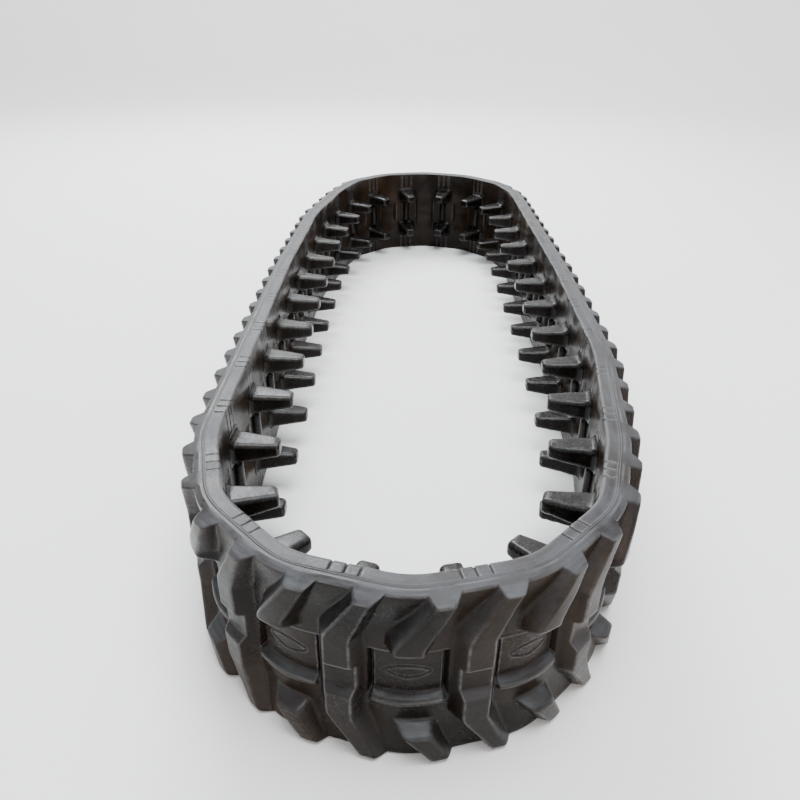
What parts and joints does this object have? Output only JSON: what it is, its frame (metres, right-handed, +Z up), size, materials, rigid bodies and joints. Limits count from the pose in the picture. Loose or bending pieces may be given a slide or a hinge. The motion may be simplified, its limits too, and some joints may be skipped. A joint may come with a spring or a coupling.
{
  "type": "rubber track",
  "caption": "Endless rubber track for a mini machine, lying on its edge: chevron tread lugs outside, iron cores with paired guide horns inside.",
  "frame": {"origin": "middle of the loop on the floor, under the lower edge", "axes": "+Z up, across the width of the track, which lies on its edge; Y along the length of the loop; +X to the right seen from the front end at -Y"},
  "size_m": [0.3474, 1.028, 0.13],
  "materials": {
    "tread_rubber": "used, dusty black",
    "core_iron": "as forged",
    "cord_steel": "brass-plated cord"
  },
  "bodies": {
    "section_01": {"rubber_section_01": "tread_rubber", "iron_core_01": "core_iron", "steel_cords_01": "cord_steel"},
    "section_02_to_03": {"rubber_section_02_to_03": "tread_rubber", "iron_cores_02_to_03": "core_iron", "steel_cords_02_to_03": "cord_steel"},
    "section_04_to_06": {"rubber_section_04_to_06": "tread_rubber", "iron_cores_04_to_06": "core_iron", "steel_cords_04_to_06": "cord_steel"},
    "section_07_to_09": {"rubber_section_07_to_09": "tread_rubber", "iron_cores_07_to_09": "core_iron", "steel_cords_07_to_09": "cord_steel"},
    "section_10_to_11": {"rubber_section_10_to_11": "tread_rubber", "iron_cores_10_to_11": "core_iron", "steel_cords_10_to_11": "cord_steel"},
    "section_12": {"rubber_section_12": "tread_rubber", "iron_core_12": "core_iron", "steel_cords_12": "cord_steel"},
    "section_13": {"rubber_section_13": "tread_rubber", "iron_core_13": "core_iron", "steel_cords_13": "cord_steel"},
    "section_14": {"rubber_section_14": "tread_rubber", "iron_core_14": "core_iron", "steel_cords_14": "cord_steel"},
    "section_15": {"rubber_section_15": "tread_rubber", "iron_core_15": "core_iron", "steel_cords_15": "cord_steel"},
    "section_16": {"rubber_section_16": "tread_rubber", "iron_core_16": "core_iron", "steel_cords_16": "cord_steel"},
    "section_17": {"rubber_section_17": "tread_rubber", "iron_core_17": "core_iron", "steel_cords_17": "cord_steel"},
    "section_18_to_19": {"rubber_section_18_to_19": "tread_rubber", "iron_cores_18_to_19": "core_iron", "steel_cords_18_to_19": "cord_steel"},
    "section_20_to_22": {"rubber_section_20_to_22": "tread_rubber", "iron_cores_20_to_22": "core_iron", "steel_cords_20_to_22": "cord_steel"},
    "section_23_to_25": {"rubber_section_23_to_25": "tread_rubber", "iron_cores_23_to_25": "core_iron", "steel_cords_23_to_25": "cord_steel"},
    "section_26_to_27": {"rubber_section_26_to_27": "tread_rubber", "iron_cores_26_to_27": "core_iron", "steel_cords_26_to_27": "cord_steel"},
    "section_28": {"rubber_section_28": "tread_rubber", "iron_core_28": "core_iron", "steel_cords_28": "cord_steel"},
    "section_29": {"rubber_section_29": "tread_rubber", "iron_core_29": "core_iron", "steel_cords_29": "cord_steel"},
    "section_30": {"rubber_section_30": "tread_rubber", "iron_core_30": "core_iron", "steel_cords_30": "cord_steel"},
    "section_31": {"rubber_section_31": "tread_rubber", "iron_core_31": "core_iron", "steel_cords_31": "cord_steel"},
    "section_32": {"rubber_section_32": "tread_rubber", "iron_core_32": "core_iron", "steel_cords_32": "cord_steel"}
  },
  "joints": [
    {"name": "flex_06_07", "type": "hinge", "parent": "section_04_to_06", "child": "section_07_to_09", "pos_m": [-0.15671, 0.00335, 0.065], "axis": [0, 0, -1], "range_deg": [-2, 6], "stiffness_Nm_per_rad": 6},
    {"name": "squeeze", "type": "hinge", "parent": "section_07_to_09", "child": "section_10_to_11", "pos_m": [-0.14918, 0.21922, 0.065], "axis": [0, 0, -1], "range_deg": [-5, 15], "stiffness_Nm_per_rad": 6},
    {"name": "advance_back", "type": "hinge", "parent": "section_10_to_11", "child": "section_12", "pos_m": [-0.12417, 0.36103, 0.065], "axis": [0, 0, -1], "range_deg": [-6, 29], "stiffness_Nm_per_rad": 6},
    {"name": "flex_12_13", "type": "hinge", "parent": "section_12", "child": "section_13", "pos_m": [-0.10192, 0.42951, 0.065], "axis": [0, 0, -1], "range_deg": [-26, 6], "stiffness_Nm_per_rad": 6},
    {"name": "flex_13_14", "type": "hinge", "parent": "section_13", "child": "section_14", "pos_m": [-0.05101, 0.48042, 0.065], "axis": [0, 0, -1], "range_deg": [-12, 4], "stiffness_Nm_per_rad": 6},
    {"name": "flex_14_15", "type": "hinge", "parent": "section_14", "child": "section_15", "pos_m": [0.01885, 0.49784, 0.065], "axis": [0, 0, -1], "range_deg": [-12, 4], "stiffness_Nm_per_rad": 6},
    {"name": "flex_15_16", "type": "hinge", "parent": "section_15", "child": "section_16", "pos_m": [0.08806, 0.47799, 0.065], "axis": [0, 0, -1], "range_deg": [-12, 4], "stiffness_Nm_per_rad": 6},
    {"name": "flex_16_17", "type": "hinge", "parent": "section_16", "child": "section_17", "pos_m": [0.13808, 0.4262, 0.065], "axis": [0, 0, -1], "range_deg": [-29, 6], "stiffness_Nm_per_rad": 6},
    {"name": "flex_17_18", "type": "hinge", "parent": "section_17", "child": "section_18_to_19", "pos_m": [0.15671, 0.35665, 0.065], "axis": [0, 0, -1], "range_deg": [-6, 26], "stiffness_Nm_per_rad": 6},
    {"name": "flex_19_20", "type": "hinge", "parent": "section_18_to_19", "child": "section_20_to_22", "pos_m": [0.15671, 0.21265, 0.065], "axis": [0, 0, -1], "range_deg": [-5, 15], "stiffness_Nm_per_rad": 6},
    {"name": "flex_03_04", "type": "hinge", "parent": "section_04_to_06", "child": "section_02_to_03", "pos_m": [-0.15671, -0.21265, 0.065], "axis": [0, 0, 1], "range_deg": [-5, 15], "stiffness_Nm_per_rad": 6},
    {"name": "advance_ahead", "type": "hinge", "parent": "section_02_to_03", "child": "section_01", "pos_m": [-0.15671, -0.35665, 0.065], "axis": [0, 0, 1], "range_deg": [-6, 26], "stiffness_Nm_per_rad": 6},
    {"name": "flex_32_01", "type": "hinge", "parent": "section_01", "child": "section_32", "pos_m": [-0.13808, -0.4262, 0.065], "axis": [0, 0, 1], "range_deg": [-29, 6], "stiffness_Nm_per_rad": 6},
    {"name": "flex_31_32", "type": "hinge", "parent": "section_32", "child": "section_31", "pos_m": [-0.08806, -0.47799, 0.065], "axis": [0, 0, 1], "range_deg": [-12, 4], "stiffness_Nm_per_rad": 6},
    {"name": "flex_30_31", "type": "hinge", "parent": "section_31", "child": "section_30", "pos_m": [-0.01885, -0.49784, 0.065], "axis": [0, 0, 1], "range_deg": [-12, 4], "stiffness_Nm_per_rad": 6},
    {"name": "flex_29_30", "type": "hinge", "parent": "section_30", "child": "section_29", "pos_m": [0.05101, -0.48042, 0.065], "axis": [0, 0, 1], "range_deg": [-12, 4], "stiffness_Nm_per_rad": 6},
    {"name": "flex_28_29", "type": "hinge", "parent": "section_29", "child": "section_28", "pos_m": [0.10192, -0.42951, 0.065], "axis": [0, 0, 1], "range_deg": [-26, 6], "stiffness_Nm_per_rad": 6},
    {"name": "flex_27_28", "type": "hinge", "parent": "section_28", "child": "section_26_to_27", "pos_m": [0.12417, -0.36103, 0.065], "axis": [0, 0, 1], "range_deg": [-6, 29], "stiffness_Nm_per_rad": 6},
    {"name": "flex_25_26", "type": "hinge", "parent": "section_26_to_27", "child": "section_23_to_25", "pos_m": [0.14918, -0.21922, 0.065], "axis": [0, 0, 1], "range_deg": [-5, 15], "stiffness_Nm_per_rad": 6}
  ],
  "couplings": [
    {"joint": "flex_06_07", "follows": "squeeze", "ratio": 0.4},
    {"joint": "flex_12_13", "follows": "advance_ahead", "ratio": -1},
    {"joint": "flex_13_14", "follows": "squeeze", "ratio": -0.8},
    {"joint": "flex_14_15", "follows": "squeeze", "ratio": -0.8},
    {"joint": "flex_15_16", "follows": "squeeze", "ratio": -0.8},
    {"joint": "flex_16_17", "follows": "advance_back", "ratio": -1},
    {"joint": "flex_17_18", "follows": "advance_ahead", "ratio": 1},
    {"joint": "flex_19_20", "follows": "squeeze", "ratio": 1},
    {"joint": "flex_03_04", "follows": "squeeze", "ratio": 1},
    {"joint": "flex_32_01", "follows": "advance_back", "ratio": -1},
    {"joint": "flex_31_32", "follows": "squeeze", "ratio": -0.8},
    {"joint": "flex_30_31", "follows": "squeeze", "ratio": -0.8},
    {"joint": "flex_29_30", "follows": "squeeze", "ratio": -0.8},
    {"joint": "flex_28_29", "follows": "advance_ahead", "ratio": -1},
    {"joint": "flex_27_28", "follows": "advance_back", "ratio": 1},
    {"joint": "flex_25_26", "follows": "squeeze", "ratio": 1}
  ]
}
